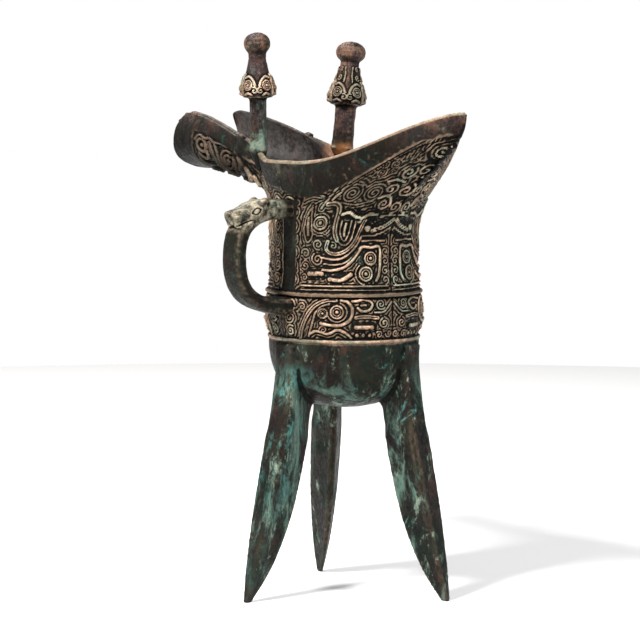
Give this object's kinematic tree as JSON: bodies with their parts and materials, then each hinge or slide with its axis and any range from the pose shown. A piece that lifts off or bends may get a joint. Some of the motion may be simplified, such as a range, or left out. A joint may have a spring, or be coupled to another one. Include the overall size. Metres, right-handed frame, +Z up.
{
  "type": "libation cup",
  "caption": "Bronze libation cup with a deep oval bowl, open spout, pointed tail, capped posts, beast-head handle and blade legs.",
  "frame": {"origin": "on the floor under the middle of the whole cup", "axes": "+Z up, +X towards the pointed tail, -X towards the open spout, -Y towards the handle"},
  "size_m": [0.1768, 0.0876, 0.224],
  "materials": {
    "bronze": "dark cast bronze with green and brown patina"
  },
  "bodies": {
    "root": {"libation_cup": "bronze"}
  },
  "joints": []
}
